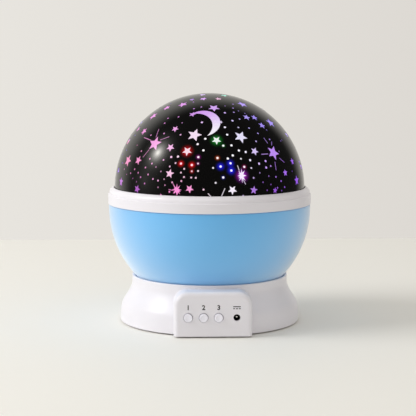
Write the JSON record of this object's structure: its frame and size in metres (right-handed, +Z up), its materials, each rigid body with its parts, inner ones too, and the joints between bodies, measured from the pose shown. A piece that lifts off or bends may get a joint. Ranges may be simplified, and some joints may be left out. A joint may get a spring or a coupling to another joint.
{
  "type": "star night light projector",
  "caption": "Bedside star projector: a lit dome with star windows over a turning bowl on a flared base with a control box, push buttons and a DC socket.",
  "frame": {"origin": "on the standing plane, on the turning axis, at the bottom centre of the bounding box", "axes": "+Z up along the turning axis, control box facing -Y, +X to the right seen from in front"},
  "size_m": [0.1292, 0.1292, 0.1452],
  "materials": {
    "white_abs": "glossy moulded ABS",
    "white_abs_matt": "fine matt moulded ABS",
    "blue_abs": "glossy moulded ABS",
    "clear_dome": "clear polished plastic",
    "black_print": "glossy opaque print",
    "rubber": "soft matt",
    "screw_steel": "zinc plated",
    "spring_steel": "nickel plated",
    "cell_jacket": "printed film over steel",
    "circuit_board": "green solder mask",
    "black_nylon": "moulded nylon",
    "gear_acetal": "natural acetal",
    "pin_brass": "bright",
    "motor_steel": "drawn can",
    "lamp_red": "clear epoxy, lit red",
    "lamp_green": "clear epoxy, lit green",
    "lamp_blue": "clear epoxy, lit blue",
    "lamp_white": "clear epoxy, lit white",
    "wire_sleeve": "PVC insulation"
  },
  "bodies": {
    "base": {"base_shell": "white_abs", "base_plate": "white_abs_matt", "base_screws": "screw_steel", "rubber_feet": "rubber", "battery_cells": "cell_jacket", "battery_contacts": "spring_steel", "battery_springs": "spring_steel", "control_board": "circuit_board", "board_screws": "screw_steel", "switch_cases": "black_nylon", "dc_jack_body": "black_nylon", "dc_jack_pin": "pin_brass", "gearbox_case": "gear_acetal", "motor_can": "motor_steel", "gearbox_screws": "screw_steel", "stem_tube": "white_abs_matt", "stem_screws": "screw_steel", "thrust_washer": "gear_acetal", "retaining_clip": "spring_steel", "lamp_tower": "white_abs_matt", "lamp_board": "circuit_board", "lamp_board_screws": "screw_steel", "lamp_blue": "lamp_blue", "lamp_green": "lamp_green", "lamp_red": "lamp_red", "lamp_white": "lamp_white", "lamp_ribbon": "wire_sleeve", "motor_wires": "wire_sleeve", "battery_wires": "wire_sleeve"},
    "head": {"bowl": "blue_abs", "trim_ring": "white_abs", "ring_gear": "gear_acetal", "gear_screws": "screw_steel", "lamp_plate": "white_abs_matt", "plate_screws": "screw_steel"},
    "pinion": {"drive_pinion": "gear_acetal", "output_shaft": "screw_steel"},
    "dome": {"dome_shell": "clear_dome", "star_skin": "black_print"},
    "door": {"battery_door": "white_abs_matt", "door_screw": "screw_steel"},
    "press_1": {"button_1": "white_abs", "switch_plunger_1": "black_nylon"},
    "press_2": {"button_2": "white_abs", "switch_plunger_2": "black_nylon"},
    "press_3": {"button_3": "white_abs", "switch_plunger_3": "black_nylon"}
  },
  "joints": [
    {"name": "head_turn", "type": "hinge", "parent": "base", "child": "head", "pos_m": [0, 0, 0.03], "axis": [0, 0, 1], "continuous": true},
    {"name": "pinion_turn", "type": "hinge", "parent": "base", "child": "pinion", "pos_m": [0, 0.0264, 0.0213], "axis": [0, 0, 1], "continuous": true},
    {"name": "dome_lift", "type": "slide", "parent": "head", "child": "dome", "axis": [0, 0, 1], "range_m": [0, 0.08]},
    {"name": "battery_door_open", "type": "hinge", "parent": "base", "child": "door", "pos_m": [0, 0.01825, 0.00175], "axis": [1, 0, 0], "range_deg": [0, 95]},
    {"name": "button_1_press", "type": "slide", "parent": "base", "child": "press_1", "axis": [0, 1, 0], "range_m": [0, 0.0005], "stiffness_N_per_m": 400},
    {"name": "button_2_press", "type": "slide", "parent": "base", "child": "press_2", "axis": [0, 1, 0], "range_m": [0, 0.0005], "stiffness_N_per_m": 400},
    {"name": "button_3_press", "type": "slide", "parent": "base", "child": "press_3", "axis": [0, 1, 0], "range_m": [0, 0.0005], "stiffness_N_per_m": 400}
  ],
  "couplings": [
    {"joint": "pinion_turn", "follows": "head_turn", "ratio": 4.6667}
  ]
}
